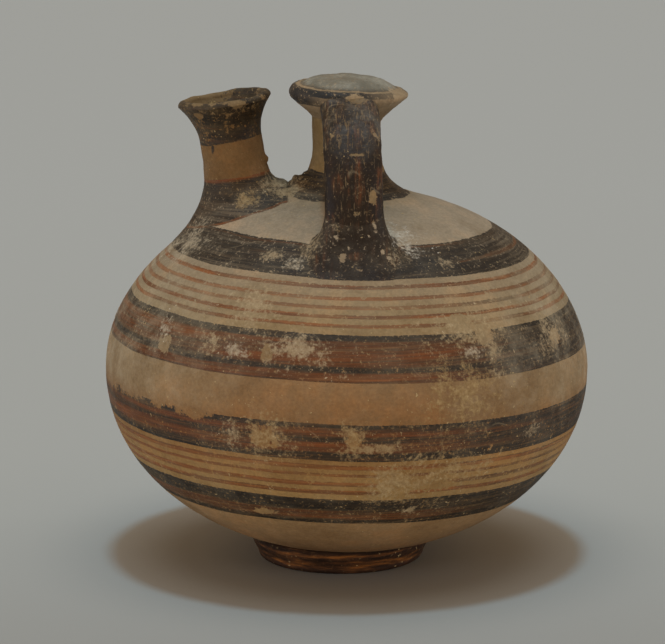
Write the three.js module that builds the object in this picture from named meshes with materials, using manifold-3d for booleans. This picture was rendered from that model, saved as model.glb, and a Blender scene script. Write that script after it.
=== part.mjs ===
// A small stirrup jar of fired clay, in millimetres, Z up.
// A hollow body thrown in two halves stands on a ring foot. A false neck with a disc closes its
// top, two strap handles tie the disc to the shoulder, and a spout beside them pours.
// The origin is on the body's axis, in the plane that the jar stands on. The spout leans
// towards -X, and the handles stand towards -Y, the front, and +Y, the rear.

import * as THREE from "three";
import { mergeVertices } from "three/addons/utils/BufferGeometryUtils.js";
import Module from "manifold-3d";

const wasm = await Module();
wasm.setup();

// Body: half of one flattened sphere above the belly seam and half of a fuller one below it
const bellyRadius = 62.5;
const bowlDepth = 47;
const bowlFullnessShare = 0.975;
const shoulderRise = 46.5;
const bodyWall = 4.5;

// The layer of slip that every luted joint leaves between two pieces
const slipGap = 0.3;

// Ring foot, luted a little off the body's axis. Its outer edge meets the bowl at its height.
const footRadius = 23.3;
const footHeight = 6.64;
const footWidth = 7.8;
const footTaper = 1.5;
const footWaistDepth = 0.3;
const footEdgeRound = 1.8;
const footOffset = 1.5;

// Spout: a leaning tube with a flared lip beside the disc, its waist above the shoulder's top
const spoutLean = THREE.MathUtils.degToRad(8);
const spoutDiscGap = 4.1;
const spoutWaistRise = 13;
const spoutTubeRadius = 8.05;
const spoutWall = 2.85;
const spoutMouthRadius = 12;
const spoutFlareStart = 0.5;
const spoutFlareHeight = 9.6;
const spoutLipRound = 1.3;

// False neck: a stub with a blind bore, plugged into the middle of the shoulder
const neckRadius = 8.8;
const neckSeatWidth = 2.5;
const neckWall = 2.3;
const neckLength = 19.2;

// Disc that caps the false neck, set down a little askew
const discTilt = THREE.MathUtils.degToRad(2.8);
const discOffset = 0.6;
const discRadius = 15.1;
const discRimRound = 2.4;
const discRimRise = 2.2;
const discUnderDepth = 6.2;
const discDome = 2.4;
const discTenonLength = 6;

// Strap handles: the middle line runs from the neck over a bend and an elbow to the root,
// which stands in from the belly. The bend and the elbow are placed from the root.
const strapWidth = 13.8;
const strapThickness = 7;
const strapTwistDegrees = 2.8;
const strapTopReach = 4;
const strapTopRise = 3;
const strapBendSetback = 9.6;
const strapBendRise = 5.3;
const strapElbowOverhang = 0.6;
const strapElbowDrop = 5.2;
const strapRootInset = 24.9;
const strapRootDepth = 7.5;

// Luting coils, smoothed into a flare: their rise up the wall and spread over the shoulder
const coilEdge = 0.5;
const coilBite = 1;
const neckCoilRise = 9.5;
const neckCoilSpread = 10.5;
const spoutCoilRiseOuter = 13.5;
const spoutCoilRiseInner = 9;
const spoutCoilSpreadOuter = 12.5;
const spoutCoilSpreadInner = 7.5;
const strapCoilRiseOuter = 9;
const strapCoilRiseInner = 5;
const strapCoilSpreadOuter = 6.5;
const strapCoilSpreadInner = 4;

// How far a cutting shape runs past what it cuts, and how near two corners count as one
const overrun = 5;
const weldDistance = 0.0001;

// Facets
const bodySegments = 48;
const neckSegments = 32;
const bodySteps = 10;
const rimSteps = 6;
const strapSteps = 12;
const strapSides = 16;
const coilSections = 32;
const coilSteps = 5;

// Outline shares, chosen by eye from the jar
const flareShares = [0, 0.3, 0.52, 0.7, 0.86, 1];
const flareCurveShare = 2;
const discDomeShares = [0.8, 0.55, 0.28, 0];
const ovalCornerShare = 0.8;
const coilHugShare = 0.82;
const coilSeatShares = [0.33, 0.66];

// Sizes, heights and places that follow from the sizes above
const bellyHeight = footHeight + bowlDepthAt(footRadius);
const shoulderTop = bellyHeight + shoulderRise;
const neckTenonRadius = neckRadius - neckSeatWidth;
const neckBoreRadius = neckTenonRadius - neckWall;
const neckTop = shoulderTop + neckLength;
const discNeckRadius = neckRadius + slipGap;
const discRimHeight = neckTop + discUnderDepth - discNeckRadius * Math.sin(discTilt);
const strapRootReach = bellyRadius - strapRootInset;
const strapElbowReach = strapRootReach + strapElbowOverhang;
const strapBendReach = strapRootReach - strapBendSetback;
const spoutBoreRadius = spoutTubeRadius - spoutWall;
const spoutMouthReach = discRadius + spoutDiscGap + spoutMouthRadius;
const spoutReach = spoutMouthReach - (spoutFlareStart + spoutFlareHeight) * Math.sin(spoutLean);
const spoutWaistHeight = shoulderTop + spoutWaistRise;
const spoutLength =
  spoutWaistHeight - shoulderHeight(spoutReach + spoutTubeRadius) + bodyWall + overrun;
const spoutFootReach =
  spoutReach - spoutWaistRise * Math.tan(spoutLean) - spoutTubeRadius / Math.cos(spoutLean);
const coilsMeetReach = (neckRadius + spoutFootReach) / 2;

// Fired clay finishes
const buffClay = new THREE.MeshStandardMaterial({ color: "#a98a63", roughness: 0.78, metalness: 0 });
const darkPaint = new THREE.MeshStandardMaterial({ color: "#3b322c", roughness: 0.5, metalness: 0 });
const spoutPaint = new THREE.MeshStandardMaterial({ color: "#6e543b", roughness: 0.65, metalness: 0 });
const discPaint = new THREE.MeshStandardMaterial({ color: "#6f665a", roughness: 0.7, metalness: 0 });
const footPaint = new THREE.MeshStandardMaterial({ color: "#4a2c1c", roughness: 0.6, metalness: 0 });

// Depth of the bowl below the belly at a distance from the axis
function bowlDepthAt(radius) {
  const angle = Math.acos((radius / bellyRadius) ** (1 / bowlFullnessShare));
  return bowlDepth * Math.sin(angle) ** bowlFullnessShare;
}

// Height of the shoulder's surface at a distance from the axis, grown outwards by extra
function shoulderHeight(radius, extra = 0) {
  const share = Math.min(1, radius / (bellyRadius + extra));
  return bellyHeight + (shoulderRise + extra) * Math.sqrt(1 - share * share);
}

// The shoulder's outline from one angle above the belly to another, as radius and height
function shoulderArc(extra, startAngle, endAngle) {
  const across = bellyRadius + extra;
  return ellipseArc(0, bellyHeight, across, shoulderRise + extra, startAngle, endAngle, bodySteps);
}

// The bowl's outline from one angle below the belly to another, fuller than an ellipse
function bowlArc(extra, startAngle, endAngle) {
  return ellipseArc(0, 0, 1, 1, startAngle, endAngle, bodySteps).map((point) => {
    const radius = (bellyRadius + extra) * Math.abs(point.x) ** bowlFullnessShare;
    const depth = (bowlDepth + extra) * Math.abs(point.y) ** bowlFullnessShare;
    return new THREE.Vector2(radius, bellyHeight - depth);
  });
}

// Points along an ellipse's arc in the plane of radius and height
function ellipseArc(centreRadius, centreHeight, acrossRadius, uprightRadius, start, end, steps) {
  const points = [];
  for (let i = 0; i <= steps; i++) {
    const angle = THREE.MathUtils.lerp(start, end, i / steps);
    const radius = Math.max(0, centreRadius + acrossRadius * Math.cos(angle));
    points.push(new THREE.Vector2(radius, centreHeight + uprightRadius * Math.sin(angle)));
  }
  return points;
}

// Turns a three.js geometry into a solid that can be cut and joined
function solidOf(geometry) {
  const bare = geometry.clone();
  bare.deleteAttribute("normal");
  bare.deleteAttribute("uv");
  const merged = mergeVertices(bare, weldDistance);
  const corners = [];
  for (let i = 0; i < merged.index.count; i += 3) {
    const [a, b, c] = [0, 1, 2].map((k) => merged.index.getX(i + k));
    if (a !== b && b !== c && a !== c) corners.push(a, b, c);
  }
  const triVerts = new Uint32Array(corners);
  const vertProperties = merged.attributes.position.array;
  return new wasm.Manifold(new wasm.Mesh({ numProp: 3, vertProperties, triVerts }));
}

// Turns a solid back into a three.js geometry
function geometryOf(solid) {
  const mesh = solid.getMesh();
  const geometry = new THREE.BufferGeometry();
  geometry.setAttribute("position", new THREE.BufferAttribute(mesh.vertProperties, 3));
  geometry.setIndex(new THREE.BufferAttribute(mesh.triVerts, 1));
  geometry.computeVertexNormals();
  return geometry;
}

// A solid turned round the Z axis from an outline of radius and height, drawn anticlockwise
function turned(outline, segments) {
  return solidOf(new THREE.LatheGeometry(outline, segments).rotateX(Math.PI / 2));
}

// A closed skin over rings of points, capped at both ends or joined end to end
function loft(rings, joined) {
  const count = rings[0].length;
  const positions = rings.flat().flatMap((point) => point.toArray());
  const index = [];
  const last = joined ? rings.length : rings.length - 1;
  for (let i = 0; i < last; i++) {
    const here = i * count;
    const next = ((i + 1) % rings.length) * count;
    for (let j = 0; j < count; j++) {
      const k = (j + 1) % count;
      index.push(here + j, next + j, next + k, here + j, next + k, here + k);
    }
  }
  if (!joined) {
    const end = (rings.length - 1) * count;
    for (let j = 1; j < count - 1; j++) {
      index.push(0, j, j + 1, end, end + j + 1, end + j);
    }
  }
  const geometry = new THREE.BufferGeometry();
  geometry.setAttribute("position", new THREE.Float32BufferAttribute(positions, 3));
  geometry.setIndex(index);
  return solidOf(geometry);
}

// The whole body as one filled shape, grown by the slip
const bodyWithSlip = turned(
  [...bowlArc(slipGap, -Math.PI / 2, 0), ...shoulderArc(slipGap, 0, Math.PI / 2).slice(1)],
  bodySegments,
);

// The spout's leaning axis as a frame whose start is the spout's waist
const spoutFrame = new THREE.Matrix4()
  .makeRotationY(-spoutLean)
  .setPosition(-spoutReach, 0, spoutWaistHeight);

// Places a solid drawn along Z on the spout's axis
function onSpoutAxis(solid) {
  return solid.transform(spoutFrame.toArray());
}

// Lower half of the body, a thrown bowl
function makeLowerBody() {
  const outer = bowlArc(0, -Math.PI / 2, 0);
  const inner = bowlArc(-bodyWall, 0, -Math.PI / 2);
  return turned([...outer, ...inner], bodySegments);
}

// Upper half of the body: a dome with a hole for the false neck and one under the spout
function makeUpperBody() {
  const holeRadius = neckTenonRadius + slipGap;
  const outerEnd = Math.acos(holeRadius / bellyRadius);
  const innerEnd = Math.acos(holeRadius / (bellyRadius - bodyWall));
  const outer = shoulderArc(0, 0, outerEnd);
  const inner = shoulderArc(-bodyWall, innerEnd, 0);
  const dome = turned([...outer, ...inner, outer[0]], bodySegments);
  const drill = new THREE.CylinderGeometry(spoutBoreRadius, spoutBoreRadius, spoutLength, neckSegments);
  drill.rotateX(Math.PI / 2).translate(0, 0, -spoutLength / 2);
  return dome.subtract(onSpoutAxis(solidOf(drill)));
}

// Ring foot, its top hollowed to sit under the bowl
function makeFootRing() {
  const innerRadius = footRadius - footWidth;
  const roundRadius = footRadius - footEdgeRound;
  const round = ellipseArc(
    roundRadius, footEdgeRound, footEdgeRound, footEdgeRound, -Math.PI / 2, 0, rimSteps);
  const waistHeight = (footEdgeRound + footHeight) / 2;
  const outline = [
    new THREE.Vector2(innerRadius, 0),
    ...round,
    new THREE.Vector2(footRadius - footWaistDepth, waistHeight),
    new THREE.Vector2(footRadius, footHeight),
    new THREE.Vector2(footRadius, footHeight + overrun),
    new THREE.Vector2(innerRadius - footTaper, footHeight + overrun),
  ];
  const ring = turned([...outline, outline[0]], bodySegments);
  return ring.translate(-footOffset, 0, 0).subtract(bodyWithSlip);
}

// Spout tube and lip, bored through, its lower end cut to sit on the shoulder
function makeSpout() {
  const lipInnerRadius = spoutMouthRadius - 2 * spoutLipRound;
  const flare = (from, to) =>
    flareShares.map((share) => {
      const radius = THREE.MathUtils.lerp(from, to, share ** flareCurveShare);
      return new THREE.Vector2(radius, spoutFlareStart + share * spoutFlareHeight);
    });
  const lip = ellipseArc(spoutMouthRadius - spoutLipRound, spoutFlareStart + spoutFlareHeight,
    spoutLipRound, spoutLipRound, 0, Math.PI, rimSteps);
  const outline = [
    new THREE.Vector2(spoutBoreRadius, -spoutLength),
    new THREE.Vector2(spoutTubeRadius, -spoutLength),
    ...flare(spoutTubeRadius, spoutMouthRadius).slice(0, -1),
    ...lip,
    ...flare(spoutBoreRadius, lipInnerRadius).slice(0, -1).reverse(),
  ];
  return onSpoutAxis(turned([...outline, outline[0]], neckSegments)).subtract(bodyWithSlip);
}

// Outline of the false neck's outside, grown by extra, from a height up to its top
function neckPost(extra, bottom, top) {
  return turned(
    [
      new THREE.Vector2(0, bottom),
      new THREE.Vector2(neckRadius + extra, bottom),
      new THREE.Vector2(neckRadius + extra, top),
      new THREE.Vector2(0, top),
    ],
    neckSegments,
  );
}

// False neck: a tenon through the shoulder, a seat round it, and a post with a blind bore
function makeFalseNeck() {
  const seatHeight = (radius) => shoulderHeight(radius) + slipGap;
  const tenonEnd = shoulderHeight(neckTenonRadius, -bodyWall);
  const outline = [
    new THREE.Vector2(neckBoreRadius, tenonEnd),
    new THREE.Vector2(neckTenonRadius, tenonEnd),
    new THREE.Vector2(neckTenonRadius, seatHeight(neckTenonRadius)),
    new THREE.Vector2(neckRadius, seatHeight(neckRadius)),
    new THREE.Vector2(neckRadius, neckTop),
    new THREE.Vector2(neckBoreRadius, neckTop),
  ];
  return turned([...outline, outline[0]], neckSegments);
}

// The disc's turned shape, grown by extra, before its underside is cut level
function discBlank(extra) {
  const domeRadius = discRadius - discRimRound;
  const rim = ellipseArc(
    domeRadius, 0, discRimRound + extra, discRimRise + extra, -Math.PI / 4, Math.PI / 2, rimSteps);
  const dome = discDomeShares.map((share) => {
    const rise = discRimRise + discDome * (1 - share ** 2) + extra;
    return new THREE.Vector2(domeRadius * share, rise);
  });
  const outline = [
    new THREE.Vector2(0, -discUnderDepth - overrun),
    new THREE.Vector2(discNeckRadius + extra, -discUnderDepth - overrun),
    new THREE.Vector2(discNeckRadius + extra, -discUnderDepth),
    ...rim,
    ...dome,
  ];
  const place = new THREE.Matrix4().makeRotationY(discTilt).setPosition(discOffset, 0, discRimHeight);
  return turned(outline, neckSegments).transform(place.toArray());
}

// Disc with a level seat on the false neck and a tenon down its bore
function makeDisc() {
  const side = 2 * (discRadius + overrun);
  const below = new THREE.BoxGeometry(side, side, side).translate(0, 0, neckTop - side / 2);
  const tenonRadius = neckBoreRadius - slipGap;
  const tenon = turned(
    [
      new THREE.Vector2(0, neckTop - discTenonLength),
      new THREE.Vector2(tenonRadius, neckTop - discTenonLength),
      new THREE.Vector2(tenonRadius, discRimHeight),
      new THREE.Vector2(0, discRimHeight),
    ],
    neckSegments,
  );
  return discBlank(0).subtract(solidOf(below)).add(tenon);
}

// Half the strap's width and thickness as an oval, by angle from its outer face
function strapOval(angle, extra = 0) {
  const soften = (value) => Math.sign(value) * Math.abs(value) ** ovalCornerShare;
  return new THREE.Vector2(
    soften(Math.cos(angle)) * (strapThickness / 2 + extra),
    soften(Math.sin(angle)) * (strapWidth / 2 + extra),
  );
}

// The middle line of a strap, as reach from the jar's axis and height
const strapCurve = new THREE.CubicBezierCurve(
  new THREE.Vector2(strapTopReach, neckTop + strapTopRise),
  new THREE.Vector2(strapBendReach, neckTop + strapBendRise),
  new THREE.Vector2(strapElbowReach, neckTop - strapElbowDrop),
  new THREE.Vector2(strapRootReach, shoulderHeight(strapRootReach) - strapRootDepth),
);

// Strap towards -Y, grown by extra, before it is turned to its place
function strapBlank(extra) {
  const rings = [];
  for (let i = 0; i <= strapSteps; i++) {
    const middle = strapCurve.getPointAt(i / strapSteps);
    const along = strapCurve.getTangentAt(i / strapSteps);
    const ring = [];
    for (let j = 0; j < strapSides; j++) {
      const oval = strapOval((j / strapSides) * 2 * Math.PI, extra);
      const reach = middle.x - along.y * oval.x;
      const height = middle.y + along.x * oval.x;
      ring.push(new THREE.Vector3(oval.y, -reach, height));
    }
    rings.push(ring);
  }
  return loft(rings, false);
}

// Strap handle, cut to fit the shoulder, the false neck and the disc
function makeHandle(turn) {
  return strapBlank(0)
    .rotate([0, 0, turn])
    .subtract(bodyWithSlip)
    .subtract(neckPost(slipGap, bellyHeight, discRimHeight))
    .subtract(discBlank(slipGap));
}

// Direction straight out of the shoulder's surface at a point on it
function shoulderNormal(point) {
  return new THREE.Vector3(
    point.x / bellyRadius ** 2,
    point.y / bellyRadius ** 2,
    (point.z - bellyHeight) / shoulderRise ** 2,
  ).normalize();
}

// Where a line from start along direction comes out of the shoulder's surface
function onShoulder(start, direction) {
  const scale = new THREE.Vector3(1 / bellyRadius, 1 / bellyRadius, 1 / shoulderRise);
  const from = start.clone().sub(new THREE.Vector3(0, 0, bellyHeight)).multiply(scale);
  const step = direction.clone().multiply(scale);
  const [a, b, c] = [step.lengthSq(), from.dot(step), from.lengthSq() - 1];
  return start.clone().addScaledVector(direction, (-b + Math.sqrt(b * b - a * c)) / a);
}

// A coil of clay smoothed round the foot of an upright: wallAt(angle) gives a point on the
// upright's wall and the level direction away from it, rise and spread give the flare's reach.
// The coil is cut to sit on the shoulder and round the upright, which is given with its slip.
function makeCoil(axis, wallAt, rise, spread, upright) {
  const rings = [];
  for (let i = 0; i < coilSections; i++) {
    const angle = (i / coilSections) * 2 * Math.PI;
    const { wall, away } = wallAt(angle);
    const corner = onShoulder(wall, axis);
    const toe = onShoulder(wall.clone().addScaledVector(away, spread(angle)), axis);
    const toeUp = shoulderNormal(toe);
    const lift = toe.clone().sub(corner).dot(toeUp) / axis.dot(toeUp);
    const bend = corner.clone().addScaledVector(axis, lift);
    const top = corner.clone().addScaledVector(axis, rise(angle));
    const out = slipGap + coilEdge;
    const skinTop = top.clone().addScaledVector(away, out);
    const skinBend = bend.clone().addScaledVector(away, out).addScaledVector(toeUp, out);
    const skinToe = toe.clone().addScaledVector(toeUp, out);
    const skin = new THREE.CubicBezierCurve3(
      skinTop,
      skinTop.clone().lerp(skinBend, coilHugShare),
      skinToe.clone().lerp(skinBend, coilHugShare),
      skinToe,
    ).getPoints(coilSteps);
    const seat = coilSeatShares.map((share) => {
      const under = onShoulder(wall.clone().addScaledVector(away, spread(angle) * share), axis);
      return under.addScaledVector(shoulderNormal(under), slipGap);
    });
    const heel = corner.clone().addScaledVector(away, -coilBite);
    rings.push([
      top.clone().addScaledVector(away, -coilBite),
      heel,
      ...seat,
      toe.clone().addScaledVector(toeUp, slipGap),
      ...skin.reverse(),
    ]);
  }
  return loft(rings, true).subtract(bodyWithSlip).subtract(upright);
}

// Blends a size from an inner to an outer value round an upright, by the angle from outwards
function fromInnerToOuter(inner, outer) {
  return (angle) => THREE.MathUtils.lerp(inner, outer, (1 + Math.cos(angle)) / 2);
}

// A block that fills one side of the level line where the spout's and the neck's coils meet
function meetingBlock(side) {
  const size = 2 * bellyRadius;
  const block = new THREE.BoxGeometry(size, size, size);
  const middle = -coilsMeetReach + (side * (size - slipGap)) / 2;
  return solidOf(block.translate(middle, 0, shoulderTop));
}

// The coil round the false neck, up to where it meets the spout's
function makeNeckCoil() {
  const wallAt = (angle) => {
    const away = new THREE.Vector3(Math.cos(angle), Math.sin(angle), 0);
    return { away, wall: away.clone().multiplyScalar(neckRadius).setZ(bellyHeight) };
  };
  const post = neckPost(slipGap, bellyHeight, neckTop);
  const coil = makeCoil(
    new THREE.Vector3(0, 0, 1), wallAt, () => neckCoilRise, () => neckCoilSpread, post);
  return coil.subtract(meetingBlock(-1));
}

// The coil round the spout, up to where it meets the false neck's
function makeSpoutCoil() {
  const axis = new THREE.Vector3(0, 0, 1).transformDirection(spoutFrame);
  const start = new THREE.Vector3(0, 0, -spoutLength).applyMatrix4(spoutFrame);
  const wallAt = (angle) => {
    const level = new THREE.Vector3(-Math.cos(angle), -Math.sin(angle), 0);
    const away = level.transformDirection(spoutFrame);
    return { away, wall: start.clone().addScaledVector(away, spoutTubeRadius) };
  };
  const rise = fromInnerToOuter(spoutCoilRiseInner, spoutCoilRiseOuter);
  const spread = fromInnerToOuter(spoutCoilSpreadInner, spoutCoilSpreadOuter);
  const tubeRadius = spoutTubeRadius + slipGap;
  const tube = new THREE.CylinderGeometry(tubeRadius, tubeRadius, 2 * spoutLength, neckSegments);
  const upright = onSpoutAxis(solidOf(tube.rotateX(Math.PI / 2)));
  return makeCoil(axis, wallAt, rise, spread, upright).subtract(meetingBlock(1));
}

// The coil round a strap's root, for the strap towards -Y
const strapCoilBlank = (() => {
  const wallAt = (angle) => {
    const oval = strapOval(angle);
    const ahead = strapOval(angle + Math.PI / coilSections);
    const behind = strapOval(angle - Math.PI / coilSections);
    const away = new THREE.Vector3(behind.x - ahead.x, behind.y - ahead.y, 0).normalize();
    return { away, wall: new THREE.Vector3(oval.y, -strapRootReach - oval.x, bellyHeight) };
  };
  const rise = fromInnerToOuter(strapCoilRiseInner, strapCoilRiseOuter);
  const spread = fromInnerToOuter(strapCoilSpreadInner, strapCoilSpreadOuter);
  return makeCoil(new THREE.Vector3(0, 0, 1), wallAt, rise, spread, strapBlank(slipGap));
})();

// The coil round the root of the strap that stands at a turn about the jar's axis
function makeStrapCoil(turn) {
  return strapCoilBlank.rotate([0, 0, turn]);
}

const frontTurn = strapTwistDegrees;
const rearTurn = strapTwistDegrees + 180;
const jar = new THREE.Group();

// Adds a piece of the jar under its name
function addPiece(name, solid, material) {
  const mesh = new THREE.Mesh(geometryOf(solid), material);
  mesh.name = name;
  jar.add(mesh);
}

addPiece("foot_ring", makeFootRing(), footPaint);
addPiece("lower_body", makeLowerBody(), buffClay);
addPiece("upper_body", makeUpperBody(), buffClay);
addPiece("spout", makeSpout(), spoutPaint);
addPiece("spout_luting_coil", makeSpoutCoil(), spoutPaint);
addPiece("false_neck", makeFalseNeck(), spoutPaint);
addPiece("neck_luting_coil", makeNeckCoil(), darkPaint);
addPiece("neck_disc", makeDisc(), discPaint);
addPiece("front_handle", makeHandle(frontTurn), darkPaint);
addPiece("rear_handle", makeHandle(rearTurn), darkPaint);
addPiece("front_handle_luting_coil", makeStrapCoil(frontTurn), darkPaint);
addPiece("rear_handle_luting_coil", makeStrapCoil(rearTurn), darkPaint);

export default jar;
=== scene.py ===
"""A small stirrup jar of fired clay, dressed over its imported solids.

Sizes in this file are millimetres until a mesh is made. The spout leans towards -X, and the
handles stand towards -Y, the front, and +Y, the rear.
"""

import math
from functools import partial

import bmesh
import bpy
import numpy as np
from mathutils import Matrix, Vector, noise


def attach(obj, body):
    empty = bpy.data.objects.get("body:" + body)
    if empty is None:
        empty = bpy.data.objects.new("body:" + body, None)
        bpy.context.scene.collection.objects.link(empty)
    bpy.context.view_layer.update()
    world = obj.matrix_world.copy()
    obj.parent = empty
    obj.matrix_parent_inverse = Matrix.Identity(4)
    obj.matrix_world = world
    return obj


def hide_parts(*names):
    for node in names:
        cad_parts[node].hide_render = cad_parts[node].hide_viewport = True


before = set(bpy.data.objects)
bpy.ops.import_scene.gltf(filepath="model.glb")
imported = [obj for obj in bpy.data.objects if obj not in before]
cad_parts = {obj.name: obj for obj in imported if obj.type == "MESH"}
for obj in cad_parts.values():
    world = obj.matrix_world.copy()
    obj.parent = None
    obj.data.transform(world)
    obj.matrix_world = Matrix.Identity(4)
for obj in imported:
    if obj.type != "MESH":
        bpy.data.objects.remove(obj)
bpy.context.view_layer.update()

MM = 0.001

# The body, the same outline as the solids have
BELLY_RADIUS = 62.5
BOWL_DEPTH = 47
BOWL_FULLNESS = 0.975
SHOULDER_RISE = 46.5
BODY_WALL = 4.5

# Ring foot
FOOT_RADIUS = 23.3
FOOT_HEIGHT = 6.64
FOOT_WIDTH = 7.8
FOOT_OFFSET = 1.5

# Spout on its leaning axis, measured from its waist
SPOUT_LEAN = math.radians(8)
SPOUT_REACH = 29.79
SPOUT_WAIST_HEIGHT = 110.0
SPOUT_RADIUS = 8.05
SPOUT_BORE = 5.2
SPOUT_MOUTH_RADIUS = 12
SPOUT_FLARE_HEIGHT = 9.6
SPOUT_LIP_ROUND = 1.3

# False neck and its disc
NECK_RADIUS = 8.8
NECK_TOP = 116.2
DISC_TILT = math.radians(2.8)
DISC_OFFSET = 0.6
DISC_HEIGHT = 121.96
DISC_RADIUS = 15.1
DISC_RIM_ROUND = 1.4
DISC_RIM_RISE = 1.9
DISC_UNDER_DEPTH = 6.2
DISC_DOME = 2.7

# Strap handles
STRAP_WIDTH = 14.4
STRAP_THICKNESS = 7
STRAP_TURN = math.radians(2.8)
STRAP_LINE = [(4, 119.2), (28, 121.5), (38.2, 111), (37.6, 80.1)]
STRAP_ROOT_REACH = 37.6

# The painted rings lie a little out of level: they drop by this share towards +X
RING_FALL = 0.026

# About how far crusts stand out
CRUST_RISE = 0.28

# The foot stands flat: the clay is even at the ground, and as uneven as elsewhere from here up
UNEVEN_FROM = 6

# How deep a coil's edge is let into the wall that it is smoothed on to
IN_WALL = 1.2

# Steps round the spout and the coils
AROUND = 144

UPWARD = np.array([0.0, 0.0, 1.0])


def bowl_depth(radius):
    """How far the bowl's surface lies under the belly at a distance from the axis."""
    angle = np.arccos((radius / BELLY_RADIUS) ** (1 / BOWL_FULLNESS))
    return BOWL_DEPTH * np.sin(angle) ** BOWL_FULLNESS


BELLY_HEIGHT = FOOT_HEIGHT + bowl_depth(FOOT_RADIUS)
SHOULDER_TOP = BELLY_HEIGHT + SHOULDER_RISE
SHOULDER_HALVES = np.array([BELLY_RADIUS, BELLY_RADIUS, SHOULDER_RISE])


def shoulder_height(radius):
    """How high the shoulder stands at a distance from the axis."""
    share = np.clip(radius / BELLY_RADIUS, 0, 1)
    return BELLY_HEIGHT + SHOULDER_RISE * np.sqrt(1 - share**2)


def unit(vectors):
    """Vectors of the same headings with a length of 1."""
    return vectors / np.linalg.norm(vectors, axis=-1, keepdims=True)


def shoulder_normal(points):
    """Which way the shoulder faces at points on it."""
    return unit((points - [0, 0, BELLY_HEIGHT]) / SHOULDER_HALVES**2)


def on_shoulder(starts, along):
    """Where lines from the starts come out of the shoulder."""
    start = (starts - [0, 0, BELLY_HEIGHT]) / SHOULDER_HALVES
    step = along / SHOULDER_HALVES
    a = step @ step
    b = start @ step
    c = (start**2).sum(axis=-1) - 1
    return starts + ((-b + np.sqrt(b**2 - a * c)) / a)[:, None] * along


# How the clay was worked, and what 3000 years in the ground did to it


def slow_waves(points, length, amount, seed):
    """A smooth push through space, the same for every piece, so that luted joints stay shut."""
    waves = 8
    chance = np.random.default_rng(seed)
    push = np.zeros_like(points)
    for _ in range(waves):
        heading = unit(chance.normal(size=3))
        side = unit(chance.normal(size=3))
        turn = chance.uniform(0, 2 * math.pi)
        span = length * chance.uniform(0.7, 1.7)
        push += np.outer(np.sin(points @ heading * 2 * math.pi / span + turn), side)
    return push * amount / math.sqrt(waves)


# Lime and earth that still sit on the clay, as place, half width, half height, whiteness
CRUSTS = [
    ((-12.3, -57.2, 66.9), 7.8, 3.6, 0.3),
    ((14.6, -56.2, 33.6), 9.7, 8.1, 0.07),
    ((25.8, -53.2, 36.0), 10.8, 5.1, 0.06),
    ((11.0, -57.2, 33.6), 6.4, 6.6, 0.1),
    ((30.5, -47.6, 70.3), 10.4, 4.6, 0.18),
    ((36.2, -47.9, 63.3), 2.6, 6.6, 0.21),
    ((31.1, -50.6, 65.0), 3.2, 1.5, 0.51),
    ((-23.2, -47.0, 75.9), 6.2, 8.0, 0.24),
    ((13.2, -31.4, 89.4), 5.0, 9.0, 1.0),
    ((-8.6, -36.8, 88.6), 4.0, 6.2, 0.25),
    ((-12.9, -39.8, 85.0), 2.5, 4.2, 0.6),
    ((-4.8, -34.6, 89.6), 2.7, 2.4, 0.18),
    ((11.2, -39.2, 85.8), 3.5, 2.2, 0.3),
    ((-19.0, -36.0, 86.2), 2.8, 1.4, 0.3),
    ((24.0, -36.0, 84.8), 2.6, 1.0, 0.3),
    ((-40.5, -13.0, 85.6), 6.6, 4.4, 0.45),
    ((-45.0, -6.0, 84.0), 6.1, 4.1, 0.42),
    ((-26.1, -10.5, 95.8), 3.6, 2.6, 0.09),
    ((-18.0, -4.0, 98.6), 5.2, 3.3, 0.25),
    ((-15.5, -5.5, 96.8), 4.4, 3.0, 0.2),
    ((-45.3, -36.1, 68.0), 2.7, 3.2, 0.57),
    ((-32.9, -48.0, 67.5), 3.4, 2.8, 0.25),
    ((-27.5, -52.5, 65.4), 2.8, 2.3, 0.54),
    ((-20.7, -58.6, 45.4), 6.2, 5.7, 0.09),
    ((-27.5, -55.4, 44.6), 4.6, 3.0, 0.27),
    ((1.6, -62.2, 45.9), 3.4, 4.7, 0.06),
    ((8.7, -61.1, 43.2), 7.3, 1.5, 0.12),
    ((29.2, -55.1, 54.1), 8.9, 8.1, 0.03),
    ((15.2, -50.5, 25.3), 2.0, 3.2, 0.18),
    ((-2.0, -57.5, 61.0), 3.5, 1.2, 0.3),
    ((51.5, -30.0, 65.0), 7.0, 5.0, 0.25),
    ((46.3, -40.6, 43.0), 2.2, 1.6, 0.3),
    ((40.0, 36.0, 66.0), 9.5, 5.4, 0.3),
    ((-18.0, 55.0, 72.0), 12.2, 6.8, 0.18),
    ((12.0, 60.0, 44.0), 13.5, 8.1, 0.12),
    ((-46.0, 34.0, 46.0), 8.1, 6.1, 0.24),
    ((33.0, 46.0, 31.0), 10.8, 5.4, 0.09),
    ((24.0, 22.0, 91.0), 6.8, 4.1, 0.42),
    ((-60.0, 8.0, 62.0), 4.7, 6.8, 0.36),
    ((58.0, 12.0, 40.0), 6.8, 5.4, 0.18),
]

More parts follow.
